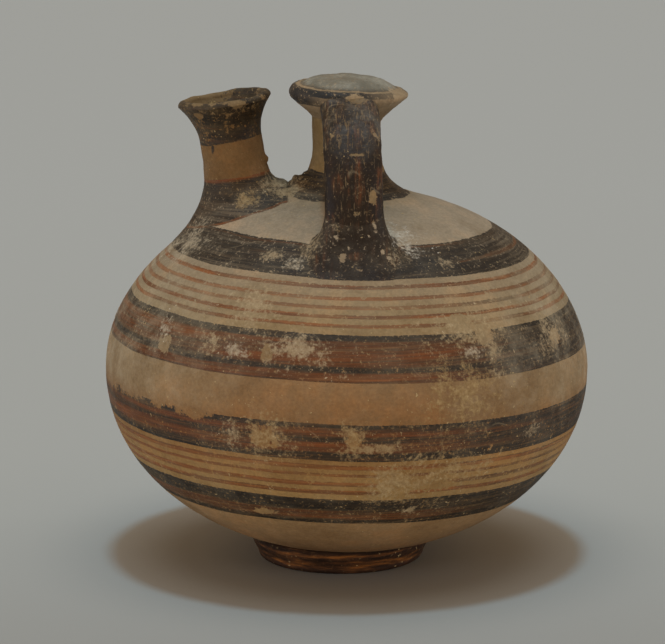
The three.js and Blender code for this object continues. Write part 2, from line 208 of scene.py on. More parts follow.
# Slip flaked off to the clay, as place, half width, half height
FLAKES = [
    ((-19.3, -55.8, 65.7), 1.2, 2.3),
    ((-44.9, -39.1, 64.7), 1.8, 1.8),
    ((52.6, -28.6, 64.6), 2.6, 1.6),
    ((-38.0, -49.5, 50.0), 5.0, 1.7),
    ((-46.0, -42.0, 51.0), 5.0, 1.8),
    ((-54.5, -30.0, 51.5), 6.0, 2.2),
    ((-60.5, -15.0, 51.2), 8.0, 2.4),
    ((-20.0, -47.6, 24.0), 2.6, 0.9),
    ((6.5, -38.4, 101.0), 0.9, 1.7),
    ((2.3, -39.9, 97.3), 0.7, 0.8),
    ((6.7, -39.6, 93.8), 0.6, 1.5),
    ((-1.1, -43.2, 86.6), 0.8, 1.1),
    ((-2.6, -41.0, 91.7), 0.7, 0.5),
    ((0.4, -42.1, 89.3), 0.4, 0.3),
    ((8.8, -41.4, 88.0), 0.4, 0.3),
    ((10.2, -41.7, 86.6), 0.8, 0.4),
    ((-19.8, -58.9, 45.6), 2.6, 2.6),
    ((1.8, -62.2, 45.0), 1.4, 2.0),
    ((12.4, -57.0, 33.2), 4.4, 3.6),
    ((22.0, -53.6, 33.4), 3.4, 2.4),
    ((27.5, -48.4, 71.4), 3.4, 1.7),
    ((33.6, -46.9, 68.2), 2.6, 2.2),
    ((2.0, -16.8, 122.8), 2.6, 1.2),
    ((-3.6, -31.0, 116.5), 0.7, 3.0),
    ((2.8, -34.4, 111.2), 1.6, 0.3),
    ((7.0, -30.0, 115.4), 0.5, 2.0),
    ((14.5, -5.0, 121.5), 4.0, 2.2),
    ((-37.6, -8.0, 117.2), 1.0, 0.8),
    ((-28.0, -10.8, 120.8), 1.8, 0.8),
    ((-38.0, -9.0, 120.4), 1.4, 0.4),
    ((-37.0, 6.5, 120.4), 5.5, 2.4),
    ((30.0, 48.0, 64.0), 5.0, 4.0),
    ((-30.0, 52.0, 46.0), 6.0, 3.0),
    ((2.0, 41.5, 104.0), 2.0, 3.0),
    ((55.0, 20.0, 62.0), 4.0, 4.0),
]


def nearness(points, place, half_width, half_height):
    """1 at a patch's middle, 0 from its edge on and less than 0 beyond it."""
    gap = points - np.array(place)
    level = np.hypot(gap[:, 0], gap[:, 1]) / half_width
    upright = gap[:, 2] / half_height
    return 1 - np.sqrt(level**2 + upright**2)


def weathering(points):
    """How much crust, how white it is, and how flaked the slip is at each point."""
    crust = np.full(len(points), -1.0)
    white = np.zeros(len(points))
    flaked = np.full(len(points), -1.0)
    for place, half_width, half_height, whiteness in CRUSTS:
        near = nearness(points, place, half_width, half_height)
        white = np.where(near > crust, whiteness, white)
        crust = np.maximum(crust, near)
    for place, half_width, half_height in FLAKES:
        flaked = np.maximum(flaked, nearness(points, place, half_width, half_height))
    return crust, white, flaked


def lumps(points, size, seed):
    """Rough lumps about size mm across, from about -1 to 1."""
    shift = Vector((seed * 17.3, seed * 5.1, seed * 9.7))
    return np.array([noise.fractal(Vector(p) / size + shift, 0.9, 2.1, 4) for p in points])


# Meshes


def put_in_scene(name, data):
    """Adds a mesh, a lamp or a camera to the scene."""
    thing = bpy.data.objects.new(name, data)
    bpy.context.scene.collection.objects.link(thing)
    return thing


def put_form(name, form):
    """Adds a finished form to the scene as a mesh."""
    mesh = bpy.data.meshes.new(name)
    form.to_mesh(mesh)
    form.free()
    return put_in_scene(name, mesh)


def skin(name, rings, joined=False):
    """A closed mesh over rings of points, joined end to end or drawn shut at both ends."""
    rings = np.asarray(rings, float)
    count, around = rings.shape[:2]
    here = np.arange(around)
    after = (here + 1) % around
    faces = []
    for i in range(count if joined else count - 1):
        low = i * around
        high = (i + 1) % count * around
        faces += np.stack([low + here, low + after, high + after, high + here], axis=1).tolist()
    if not joined:
        faces += [here[::-1].tolist(), ((count - 1) * around + here).tolist()]
    mesh = bpy.data.meshes.new(name)
    mesh.from_pydata(rings.reshape(-1, 3).tolist(), [], faces)
    form = bmesh.new()
    form.from_mesh(mesh)
    bmesh.ops.remove_doubles(form, verts=form.verts, dist=0.0005)
    bmesh.ops.recalc_face_normals(form, faces=form.faces)
    form.to_mesh(mesh)
    form.free()
    return put_in_scene(name, mesh)


def full_turn(count):
    """Even angles once round, from 0."""
    return np.linspace(0, 2 * math.pi, count, endpoint=False)


def turned(outline, around, centre=0):
    """Rings of an outline of radius and height, turned round an upright axis at X centre."""
    angle = full_turn(around)
    return [
        np.stack([centre + r * np.cos(angle), r * np.sin(angle), np.full(around, z)], axis=1)
        for r, z in outline
    ]


def arc(radius, height, across, upright, start, end, steps):
    """Points of radius and height on an oval, from one angle to another."""
    angle = np.linspace(start, end, steps + 1)
    return list(zip(radius + across * np.cos(angle), height + upright * np.sin(angle)))


def bezier(ends, t):
    """The point at share t of the curve that four points draw."""
    s = 1 - t
    return s**3 * ends[0] + 3 * s**2 * t * ends[1] + 3 * s * t**2 * ends[2] + t**3 * ends[3]


def swell(rings, place, size, push):
    """Pushes rings most at a place, and less and less over size mm around it."""
    near = np.exp(-((rings - place) ** 2).sum(axis=2) / size**2)
    return rings + near[:, :, None] * np.array(push)


def bore(piece, start, end, radius):
    """Cuts a round hole through a piece, from one point to another."""
    way = Vector(end) - Vector(start)
    form = bmesh.new()
    ends = {"radius1": radius, "radius2": radius, "depth": way.length}
    bmesh.ops.create_cone(form, cap_ends=True, segments=96, **ends)
    drill = put_form("drill", form)
    drill.rotation_euler = way.to_track_quat("Z", "Y").to_euler()
    drill.location = (Vector(start) + Vector(end)) / 2
    cut = piece.modifiers.new("bore", "BOOLEAN")
    cut.operation = "DIFFERENCE"
    cut.object = drill
    shape = piece.evaluated_get(bpy.context.evaluated_depsgraph_get())
    mesh = bpy.data.meshes.new_from_object(shape)
    piece.modifiers.clear()
    piece.data = mesh
    bpy.data.objects.remove(drill)


def read(vertices, title):
    """Where the vertices are, or which way they face."""
    values = np.zeros(len(vertices) * 3, np.float32)
    vertices.foreach_get(title, values)
    return values.reshape(-1, 3).astype(float)


def finish_piece(piece, node, material, relief=0.05):
    """Works and ages the clay, gives the piece its finish, hangs it on the root body and hides its
    node's solid.
    """
    mesh = piece.data
    points = read(mesh.vertices, "co")
    normals = read(mesh.vertices, "normal")
    crust, white, flaked = weathering(points)
    # Low lumps all over, and higher, rougher ones where crust lies
    rise = relief * lumps(points, 3.5, 1)
    crusted = np.clip(crust + 0.25, 0, 0.6) / 0.6
    some = crusted > 0
    rise[some] += CRUST_RISE * crusted[some] * (0.45 + lumps(points[some], 1.7, 2))
    off_ground = np.clip(points[:, 2:] / UNEVEN_FROM, 0, 1)
    points += normals * rise[:, None] * off_ground
    points += slow_waves(points, 46, 0.28, 5) * off_ground
    mesh.vertices.foreach_set("co", (points * MM).ravel())
    for title, values in (("crust", crust), ("white", white), ("flaked", flaked)):
        layer = mesh.attributes.new(title, "FLOAT", "POINT")
        layer.data.foreach_set("value", values.astype(np.float32))
    mesh.update()
    mesh.polygons.foreach_set("use_smooth", [True] * len(mesh.polygons))
    mesh.set_sharp_from_angle(angle=math.radians(38))
    mesh.materials.clear()
    mesh.materials.append(material)
    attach(piece, "root")
    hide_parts(node)


# Finishes

# Settings that many nodes share
SOFT_EDGE = {"interpolation_type": "SMOOTHSTEP"}
COLOURS = {"data_type": "RGBA"}


def linear(shade):
    """An sRGB hex colour as the linear colour that a shader takes."""
    parts = [int(shade[i : i + 2], 16) / 255 for i in (1, 3, 5)]
    return [p / 12.92 if p <= 0.04045 else ((p + 0.055) / 1.055) ** 2.4 for p in parts] + [1]


def feed(node, inputs):
    """Sets a node's open inputs, in order or by name. A node fed in gives its first open
    output."""
    sockets = [s for s in node.inputs if s.enabled]
    if isinstance(inputs, dict):
        sockets = [next(s for s in sockets if s.name == title) for title in inputs]
        inputs = inputs.values()
    for socket, value in zip(sockets, inputs):
        if isinstance(value, bpy.types.Node):
            value = next(s for s in value.outputs if s.enabled)
        if isinstance(value, bpy.types.NodeSocket):
            node.id_data.links.new(value, socket)
        else:
            socket.default_value = value


def add_node(tree, kind, settings=None, inputs=()):
    """Adds one node with its settings and links. Settings of one word are its operation.

    In order, a map range takes its value, the two ends that the value has and the two that
    they become, and a mix takes its share, what lies under and what lies over."""
    node = tree.nodes.new("ShaderNode" + kind)
    if isinstance(settings, str):
        settings = {"operation": settings}
    for title, value in (settings or {}).items():
        if title == "stops":
            ramp = node.color_ramp
            ramp.elements.remove(ramp.elements[1])
            for i, (spot, shade) in enumerate(value):
                stop = ramp.elements[0] if i == 0 else ramp.elements.new(spot)
                stop.position = spot
                stop.color = linear(shade) if isinstance(shade, str) else (shade, shade, shade, 1)
        elif title == "spread":
            node.color_ramp.interpolation = value
        else:
            setattr(node, title, value)
    feed(node, inputs)
    return node


def start_finish(name):
    """A material, what adds its nodes, its shader, and every point's place in millimetres."""
    material = bpy.data.materials.new(name)
    material.use_nodes = True
    material.node_tree.nodes.clear()
    add = partial(add_node, material.node_tree)
    shader = add("BsdfPrincipled")
    add("OutputMaterial", None, {"Surface": shader}).is_active_output = True
    where = add("TexCoord").outputs["Object"]
    return material, add, shader, add("VectorMath", "SCALE", [where, 1 / MM])


def mottled(place, size, detail=4.0, rough=0.6):
    """What a noise needs to give a mottled pattern, about size mm across, around 0.5."""
    return {"Vector": place, "Scale": 1 / size, "Detail": detail, "Roughness": rough}


def streaks(add, place, sizes, detail=3.0, rough=0.65):
    """What a noise needs to give streaks of these sizes in mm along X, Y and Z."""
    drawn = add("VectorMath", "MULTIPLY", [place, [1 / size for size in sizes]])
    return mottled(drawn, 1, detail, rough)


def wheel_strokes(add, place, length, width):
    """The streaks that a brush leaves on a turning pot: long round the axis, thin along it."""
    return streaks(add, place, (length, length, width))


def patches(add, pattern, low, high, least=0, most=1, settings=None):
    """A noise in patches: least where its pattern is low or lower, most where high or higher."""
    spots = add("TexNoise", None, pattern)
    return add("MapRange", settings, [spots, low, high, least, most])


def wavering(add, place, size, detail, amount):
    """A number that wavers between -amount and amount, in patches about size mm across."""
    return patches(add, mottled(place, size, detail), 0, 1, -amount, amount)


def off_axis(add, place):
    """How far each point is from the upright axis."""
    level = add("VectorMath", "MULTIPLY", [place, (1, 1, 0)])
    return add("VectorMath", "LENGTH", [level])


def ring_height(add, place):
    """Height along the tilted painted rings, with the unsteady edge of a loaded brush."""
    level = add("VectorMath", "DOT_PRODUCT", [place, (RING_FALL, 0, 1)])
    swayed = add("Math", "ADD", [level, wavering(add, place, 24, 1.0, 0.38)])
    return add("Math", "ADD", [swayed, wavering(add, place, 0.8, 2.0, 0.2)])


def past_plane(add, place, slope, height, fray):
    """1 above a plane that rises along X by slope, 0 below it, with a painted, frayed edge."""
    rise = add("VectorMath", "DOT_PRODUCT", [place, (-slope, 0, 1)])
    frayed = add("Math", "ADD", [rise, wavering(add, place, 5, 4.0, fray)])
    return add("MapRange", SOFT_EDGE, [frayed, height - 0.12, height + 0.12])


def blotch(add, place, middle, halves):
    """1 in the middle of a blotch with these half sizes, falling to 0 at its edge."""
    gap = add("VectorMath", "SUBTRACT", [place, middle])
    sized = add("VectorMath", "DIVIDE", [gap, halves])
    reach = add("VectorMath", "LENGTH", [sized])
    return add("MapRange", SOFT_EDGE, [reach, 1.0, 0.4])


def bare_clay(add, place, tones):
    """Fine buff earthenware, wiped smooth on the wheel: matt, cloudy and faintly ringed.

    Each tone stands at a height in hundreds of mm, up to 1.3. The kiln left clouds about 16 mm
    across, and a wet hand wiped rings about 1.6 mm wide. Grit in such clay is 0.2 to 0.5 mm,
    and is drawn 0.8 mm so that it shows."""
    top = 1.3
    level = add("VectorMath", "DOT_PRODUCT", [place, (0, 0, 0.01 / top)])
    stops = [(height / top, shade) for height, shade in tones]
    tone = add("ValToRGB", {"stops": stops}, [level])
    clouds = add("TexNoise", None, mottled(place, 16, 7.0, 0.7))
    stops = [(0.28, "#645c4f"), (0.5, "#80807f"), (0.74, "#a0958a")]
    cloud = add("ValToRGB", {"stops": stops}, [clouds])
    tinted = add("Mix", COLOURS | {"blend_type": "OVERLAY"}, [0.8, tone, cloud])
    rings = patches(add, wheel_strokes(add, place, 40, 1.6), 0, 1, 0.9, 1.1)
    wiped = add("VectorMath", "SCALE", [tinted, rings])
    grit = patches(add, mottled(place, 0.8, 2.0), 0.25, 0.7, 0.82, 1.1)
    return add("VectorMath", "SCALE", [wiped, grit])


def slip_left(add, place, cover, flaking, rubbing):
    """How much slip is left of what was laid on.

    Slip flakes off in chips of 2.4 mm with edges nicked 1 mm deep. Pinholes in it are about
    0.3 mm, and are drawn 0.8 mm so that they show."""
    flaked = add("Attribute", {"attribute_name": "flaked"}).outputs["Fac"]
    chips = add("TexNoise", None, mottled(place, 2.4, 4.0, 0.7))
    nicks = add("TexNoise", None, mottled(place, 1.0, 3.0, 0.7))
    loose = add("MapRange", None, [flaked, -0.7, 0.4, 0, 0.4])
    lifted = add("Math", "ADD", [chips, loose])
    frayed = add("Math", "MULTIPLY_ADD", [nicks, 0.7, lifted])
    gone = add("MapRange", SOFT_EDGE, [frayed, 1.5 - flaking, 1.6 - flaking])
    rubbed = patches(add, mottled(place, 7, 3.0), 0.38, 0.66, 0.25, rubbing)
    pinholes = patches(add, mottled(place, 0.8, 2.0), 0.6, 0.66, 0, rubbed, SOFT_EDGE)
    bared = add("Math", "MAXIMUM", [gone, pinholes])
    return add("Math", {"operation": "SUBTRACT", "use_clamp": True}, [cover, bared])


def crust_left(add, place):
    """How much of each point lies under crust, in clumps to 4 mm of crumbs of 0.9 mm, or in
    specks of 1.1 mm."""
    crust = add("Attribute", {"attribute_name": "crust"}).outputs["Fac"]
    near = add("Math", "MULTIPLY", [crust, 0.42])
    clumps = add("TexNoise", None, mottled(place, 4.2, 2.0, 0.5))
    crumbs = add("TexNoise", None, mottled(place, 0.9, 2.0, 0.7))
    coarse = add("Math", "MULTIPLY_ADD", [clumps, 1.3, near])
    spread = add("Math", "MULTIPLY_ADD", [crumbs, 1.7, coarse])
    caked = add("MapRange", SOFT_EDGE, [spread, 1.42, 2.0, 0, 0.78])
    dotted = add("TexNoise", None, mottled(place, 13, 3.0))
    dots = add("TexNoise", None, mottled(place, 1.1, 2.0))
    dense = add("Math", "MULTIPLY_ADD", [dotted, 0.3, dots])
    specks = add("MapRange", SOFT_EDGE, [dense, 0.84, 0.9, 0, 0.8])
    return add("Math", "MAXIMUM", [caked, specks])


def aged(add, place, clay, slip, cover, flaking=0.5, rubbing=0.75, haze="#7d6f66", hazing=0.1):
    """Lays worn slip over clay, then a haze, scratches and the crusts of burial over both.

    Gives the colour, how much slip is left and how much crust lies there."""
    kept = slip_left(add, place, cover, flaking, rubbing)
    painted = add("Mix", COLOURS, [kept, clay, slip])
    film = patches(add, mottled(place, 14, 8.0, 0.8), 0.4, 0.72, 0, hazing, SOFT_EDGE)
    hazy = add("Mix", COLOURS, [film, painted, linear(haze)])

    # Fine pale lines that roots and scouring left
    bends = add("TexNoise", None, mottled(place, 34, 2.0))
    wander = add("Math", "SUBTRACT", [bends, 0.5])
    astray = add("Math", "ABSOLUTE", [wander])
    scoured = patches(add, mottled(place, 8, 3.0), 0.54, 0.66, 0, 0.22)
    mark = add("MapRange", None, [astray, 0.005, 0.001, 0, scoured])
    marked = add("Mix", COLOURS, [mark, hazy, linear("#a08f70")])

    lime = crust_left(add, place)
    whiteness = add("Attribute", {"attribute_name": "white"}).outputs["Fac"]
    mottle = add("TexNoise", None, mottled(place, 1.1, 5.0, 0.8))
    stops = [(0.3, "#5f4a2e"), (0.42, "#7b633f"), (0.58, "#8f7850"), (0.72, "#a49069")]
    earth = add("ValToRGB", {"stops": stops}, [mottle])
    stops = [(0.3, "#837867"), (0.5, "#a39a88"), (0.7, "#bdb6a9")]
    chalk = add("ValToRGB", {"stops": stops}, [mottle])
    crusty = add("Mix", COLOURS, [whiteness, earth, chalk])
    return add("Mix", COLOURS, [lime, marked, crusty]), kept, lime


def close_finish(add, shader, place, worn, slip_rough=0.58):
    """Sets the surface: clay is matt, slip has a dull sheen, and crust stands up in relief.

    Fired clay and its glassy slip have an IOR of about 1.5. A low specular level stands for
    the pores, which are about 0.1 mm and are drawn 0.55 mm so that they show."""
    colour, kept, lime = worn
    sheen = add("MapRange", None, [kept, 0, 1, 0.84, slip_rough])
    uneven = add("Math", "ADD", [sheen, wavering(add, place, 6, 5.0, 0.14)])
    matt = add("Math", "MULTIPLY_ADD", [lime, 0.3, uneven])
    rough = add("Math", "MINIMUM", [matt, 0.95])
    pores = add("TexNoise", None, mottled(place, 0.55, 4.0, 0.7))
    wiping = add("TexNoise", None, wheel_strokes(add, place, 30, 0.9))
    skin_height = add("Math", "MULTIPLY_ADD", [wiping, 0.5, pores])
    layer = add("Math", "MULTIPLY_ADD", [kept, 0.35, skin_height])
    crumbs = add("TexNoise", None, mottled(place, 1.0, 6.0, 0.8))
    crumbly = add("Math", "MULTIPLY", [lime, crumbs])
    height = add("Math", "MULTIPLY_ADD", [crumbly, 1.4, layer])
    bump = add("Bump", None, {"Strength": 0.6, "Distance": 0.22 * MM, "Height": height})
    feed(shader, {"Base Color": colour, "Roughness": rough, "Normal": bump})
    feed(shader, {"IOR": 1.5, "Specular IOR Level": 0.18})


# What colour the bare clay fired, by height in hundreds of mm. Up to about 20 mm it is painted
# lighter, standing in for light bounced up from the floor
BODY_CLAY_AND_BOUNCE_LIGHT = [
    (0.02, "#94734b"), (0.2, "#a07e54"), (0.3, "#a6834f"), (0.38, "#a27b48"),
    (0.5, "#926b41"), (0.6, "#98764f"), (0.72, "#a48a62"), (0.82, "#a69071"),
    (0.88, "#ac997e"), (0.94, "#a8967c"), (1.0, "#93784b"),
]
SIDE_CLAY = [(0.4, "#a68f66"), (0.7, "#a39070"), (0.9, "#ac9a80")]
SPOUT_CLAY = [(0.9, "#8f7553"), (1.0, "#83633c"), (1.16, "#83633c"), (1.2, "#8f7653")]
STRAP_CLAY = [(0.8, "#8f7a58"), (1.2, "#8c7350")]
DISC_CLAY = [(1.1, "#86704e"), (1.18, "#957d5c"), (1.205, "#b09876")]
FOOT_CLAY = [(0.0, "#7a5c3c"), (0.1, "#86683f")]

# Where the rings of slip begin and end round the body, as height in hundreds of mm
BODY_RINGS = [
    (0.0, 1.0), (0.069, 0.0),
    (0.209, 1.0), (0.289, 0.0),
    (0.304, 0.85), (0.3135, 0.0),
    (0.327, 0.85), (0.3365, 0.0),
    (0.352, 0.8), (0.361, 0.0),
    (0.3745, 0.8), (0.383, 0.0),
    (0.397, 1.0), (0.491, 0.0),
    (0.591, 1.0), (0.701, 0.0),
    (0.718, 0.8), (0.7255, 0.0),
    (0.7355, 0.9), (0.744, 0.0),
    (0.755, 0.65), (0.7625, 0.0),
    (0.7765, 0.75), (0.785, 0.0),
    (0.7975, 0.9), (0.8065, 0.0),
    (0.819, 1.0), (0.885, 0.0),
]

# How thinly each ring was painted: 0 is thick and nearly black, 1 thin and red-brown
BODY_THINNESS = [
    (0.218, 0.12), (0.228, 0.58), (0.25, 0.58), (0.26, 0.14),
    (0.29, 0.05), (0.3, 0.82), (0.385, 0.82), (0.395, 0.1),
    (0.417, 0.15), (0.423, 0.7), (0.443, 0.65), (0.448, 0.3), (0.458, 0.3),
    (0.464, 0.72), (0.473, 0.66), (0.479, 0.25), (0.495, 0.15),
    (0.588, 0.3), (0.6, 0.62), (0.615, 0.66), (0.62, 0.15), (0.628, 0.16),
    (0.636, 0.64), (0.686, 0.56), (0.692, 0.15), (0.705, 0.1),
    (0.715, 0.8), (0.81, 0.8), (0.82, 0.05), (0.879, 0.04), (0.884, 0.55), (0.886, 0.04),
]

# The slip on the spout's root ends on the tube along a plane that rises along X by this slope
TUBE_EDGE_SLOPE = 0.149


def slip_colour(add, place, thinness, thick="#1f1912"):
    """Iron-rich slip: nearly black where it is thick, red-brown where the brush ran thin.

    Hairs of a brush leave marks about 0.2 mm wide, drawn 0.45 mm so that they show, within
    strokes of 2.2 mm."""
    hairs = add("TexNoise", None, wheel_strokes(add, place, 16, 0.45))
    broad = add("TexNoise", None, wheel_strokes(add, place, 50, 2.2))
    both = add("Math", "ADD", [hairs, broad])
    pull = add("MapRange", None, [both, 0.72, 1.28, -0.3, 0.3])
    mixed = add("Math", {"operation": "ADD", "use_clamp": True}, [thinness, pull])
    stops = [(0.0, thick), (0.28, "#2f2417"), (0.55, "#482a13")]
    stops += [(0.85, "#5f3312"), (1.0, "#744018")]
    return add("ValToRGB", {"stops": stops}, [mixed])


def tube(add, place):
    """1 on the spout's tube, above the slip on its root."""
    return past_plane(add, place, TUBE_EDGE_SLOPE, 105.35, 0.35)


def tube_edge(add, place):
    """1 where the slip on the spout's root runs out thin at its upper edge."""
    rise = add("VectorMath", "DOT_PRODUCT", [place, (-TUBE_EDGE_SLOPE, 0, 1)])
    return add("MapRange", SOFT_EDGE, [rise, 103.9, 105.2, 0, 0.85])


def neck_root_slip(add, place):
    """1 in the ring of slip round the false neck's root."""
    reach = add("Math", "ADD", [off_axis(add, place), wavering(add, place, 6, 4.0, 1.2)])
    near = add("MapRange", None, [reach, 16.4, 16.1])
    over_top = past_plane(add, place, -0.03, 102.2, 1.0)
    over_shoulder = past_plane(add, place, 0.0, 92, 0.1)
    span = add("Math", "SUBTRACT", [over_shoulder, over_top])
    return add("Math", {"operation": "MULTIPLY", "use_clamp": True}, [span, near])


def strap_root_slip(add, place, height):
    """1 round each strap's root, down to the lower edge of the shoulder's dark ring."""
    sine = math.sin(STRAP_TURN)
    cosine = math.cos(STRAP_TURN)
    aside = add("VectorMath", "DOT_PRODUCT", [place, (cosine, sine, 0)])
    ahead = add("VectorMath", "DOT_PRODUCT", [place, (-sine, cosine, 0)])
    outward = add("Math", "ABSOLUTE", [ahead])
    middle, half_width, half_depth = 38.5, 11.4, 11.5
    beyond = add("Math", "SUBTRACT", [outward, middle])
    spot = add("CombineXYZ", None, [aside, beyond])
    sized = add("VectorMath", "MULTIPLY", [spot, (1 / half_width, 1 / half_depth, 0)])
    gap = add("VectorMath", "LENGTH", [sized])
    ragged = add("Math", "ADD", [gap, wavering(add, place, 5, 4.0, 0.12)])
    near = add("MapRange", None, [ragged, 1.02, 0.99])
    over_edge = add("MapRange", None, [height, 81.85, 81.95])
    return add("Math", "MULTIPLY", [near, over_edge])


def ring_thinness(add, place, height, painted, fine_lines):
    """How thin the slip of the rings is. It ran thicker, nearly black, on the jar's right."""
    toward_right = add("VectorMath", "DOT_PRODUCT", [place, (1, 0.2, 0)])
    laden = add("MapRange", SOFT_EDGE, [toward_right, 4, 42, 1.0, 0.35])
    darker = add("Math", "MULTIPLY", [painted, laden])
    uneven = patches(add, wheel_strokes(add, place, 18, 2.0), 0.36, 0.6, 0.42, 0.95)
    line_thinness = add("Math", "MULTIPLY", [fine_lines, uneven])
    loaded = add("Math", "MAXIMUM", [darker, line_thinness])

    # A thin line where two strokes of the shoulder's ring meet
    starved = add("MapRange", None, [laden, 0.95, 0.7, 0, 0.55])
    off_line = add("Math", "SUBTRACT", [height, 85.0])
    from_line = add("Math", "ABSOLUTE", [off_line])
    meeting = add("MapRange", None, [from_line, 0.55, 0.2, 0, starved])
    return add("Math", "MAXIMUM", [loaded, meeting])


def banded_clay():
    """Buff earthenware with rings of iron slip, brushed on as the pot turned on the wheel.

    To the eye it is matt, warm, cloudy clay under dull dark rings that wore to specks."""
    material, add, shader, place = start_finish("wheel_thrown_buff_clay_with_slip_rings")
    across = add("SeparateXYZ", None, [place]).outputs["X"]
    height = ring_height(add, place)
    share = add("Math", "MULTIPLY", [height, 0.01])
    rings = add("ValToRGB", {"spread": "CONSTANT", "stops": BODY_RINGS}, [share])
    painted = add("ValToRGB", {"stops": BODY_THINNESS}, [share])
    fine_lines = add("MapRange", None, [painted, 0.74, 0.79])

    # The spout's root stands in slip: over a slanting edge on the shoulder, up to the tube
    over_edge = past_plane(add, place, 0.3, 99.75, 0.5)
    off_edge = past_plane(add, place, 0.3, 100.2, 0.5)
    on_tube = tube(add, place)
    beside = add("MapRange", None, [across, -14.6, -15.2])
    below = add("Math", "SUBTRACT", [over_edge, on_tube])
    spout_root = add("Math", {"operation": "MULTIPLY", "use_clamp": True}, [below, beside])
    strap_root = strap_root_slip(add, place, height)
    two_roots = add("Math", "MAXIMUM", [spout_root, neck_root_slip(add, place)])
    roots = add("Math", "MAXIMUM", [two_roots, strap_root])
    bands = add("Math", "MAXIMUM", [rings, roots])

    # The fine lines, drawn with a nearly dry brush, come and go, most on the right
    faintest = add("MapRange", None, [across, -50, 45, 0.78, 0.38])
    fading = patches(add, wheel_strokes(add, place, 14, 1.8), 0.3, 0.54, faintest)
    strength = add("MapRange", None, [fine_lines, 0, 1, 1.0, fading])
    steady = add("Math", "MULTIPLY", [bands, strength])
    dry = patches(add, wheel_strokes(add, place, 22, 0.6), 0.32, 0.5, 0.7)
    brushed = add("Math", "MULTIPLY", [steady, dry])
    cover = add("Math", "MAXIMUM", [brushed, strap_root])

    # Above the belly line the clay is greyer towards both sides along X, and fired redder on the
    # spout
    aside = add("Math", "ABSOLUTE", [across])
    sides = add("MapRange", None, [aside, 22, 54])
    upper_sides = add("MapRange", None, [height, 47, 52, 0, sides])
    greyer = add("Math", "MULTIPLY", [upper_sides, 0.6])
    # Painted light: the middle tones are lighter near the bottom, for light bounced up from the
    # floor
    middle, side, spout = [bare_clay(add, place, c) for c in (BODY_CLAY_AND_BOUNCE_LIGHT, SIDE_CLAY, SPOUT_CLAY)]
    body = add("Mix", COLOURS, [greyer, middle, side])
    spout_share = add("Math", "MULTIPLY", [on_tube, beside])
    clay = add("Mix", COLOURS, [spout_share, body, spout])

    # The slip on the spout's root runs thin at both its edges
    brushed_edge = add("Math", "SUBTRACT", [over_edge, off_edge])
    low_edge = add("Math", "MULTIPLY", [brushed_edge, 0.6])
    edges = add("Math", "MAXIMUM", [low_edge, tube_edge(add, place)])
    ending = add("Math", "MULTIPLY", [spout_root, edges])
    lined = ring_thinness(add, place, height, painted, fine_lines)
    thinness = add("Math", "MAXIMUM", [lined, ending])
    wheeled = slip_colour(add, place, thinness)
    slip = add("Mix", COLOURS, [strap_root, wheeled, strap_strokes(add, place)])

    # A pale grey haze lies on both sides along X, most below 76 mm. The thick slip on the straps'
    # roots kept better than the rings
    haziest = add("MapRange", None, [height, 76, 82, 0.42, 0.1])
    grey_haze = add("MapRange", None, [upper_sides, 0, 1, 0.1, haziest])
    holes = add("MapRange", None, [strap_root, 0, 1, 0.75, 0.35])
    worn = aged(add, place, clay, slip, cover, rubbing=holes, haze="#a3967c", hazing=grey_haze)
    close_finish(add, shader, place, worn)
    return material


def spout_clay():
    """The same clay and slip on the spout: a worn dark lip, a bare belt and a dark root."""
    material, add, shader, place = start_finish("thrown_buff_clay_spout_with_slip_lip")
    lip = past_plane(add, place, 0.187, 115.7, 0.45)
    root = add("Math", "SUBTRACT", [1.0, tube(add, place)])
    ends = add("Math", "MAXIMUM", [lip, root])
    drip = blotch(add, place, (-34.1, -6.3, 108.4), (0.55, 2.5, 1.9))
    cover = add("Math", "MAXIMUM", [ends, drip])
    below = add("Math", "MULTIPLY", [root, tube_edge(add, place)])
    thinness = add("Math", "MAXIMUM", [below, 0.12])
    clay = bare_clay(add, place, SPOUT_CLAY)
    slip = slip_colour(add, place, thinness)
    worn = aged(add, place, clay, slip, cover, 0.58, 1.0, haze="#7d6a48", hazing=0.25)
    close_finish(add, shader, place, worn)
    return material


def strap_strokes(add, place):
    """Thick dark slip brushed along a strap, thin in long strokes that show red-brown."""
    strokes = add("TexNoise", None, streaks(add, place, (1.3, 14, 14), 4.0, 0.7))
    thin = add("MapRange", None, [strokes, 0.46, 0.7])
    spots = patches(add, mottled(place, 8, 3.0), 0.42, 0.6, settings=SOFT_EDGE)
    thinness = add("Math", "MULTIPLY", [thin, spots])
    # Three blotches on the front strap where the slip ran thin
    for middle, halves in (
        ((-2.2, -38.0, 104.6), (2.0, 5.0, 3.8)),
        ((2.9, -39.0, 102.0), (1.7, 5.0, 4.8)),
        ((2.3, -42.8, 87.2), (2.8, 5.0, 1.5)),
    ):
        spot = blotch(add, place, middle, halves)
        run_thin = add("MapRange", None, [strokes, 0.36, 0.66, 0, spot])
        thinness = add("Math", "MAXIMUM", [thinness, run_thin])
    stops = [(0.0, "#1c1207"), (0.4, "#2b1a0b"), (0.72, "#462811"), (1.0, "#633717")]
    return add("ValToRGB", {"stops": stops}, [thinness])


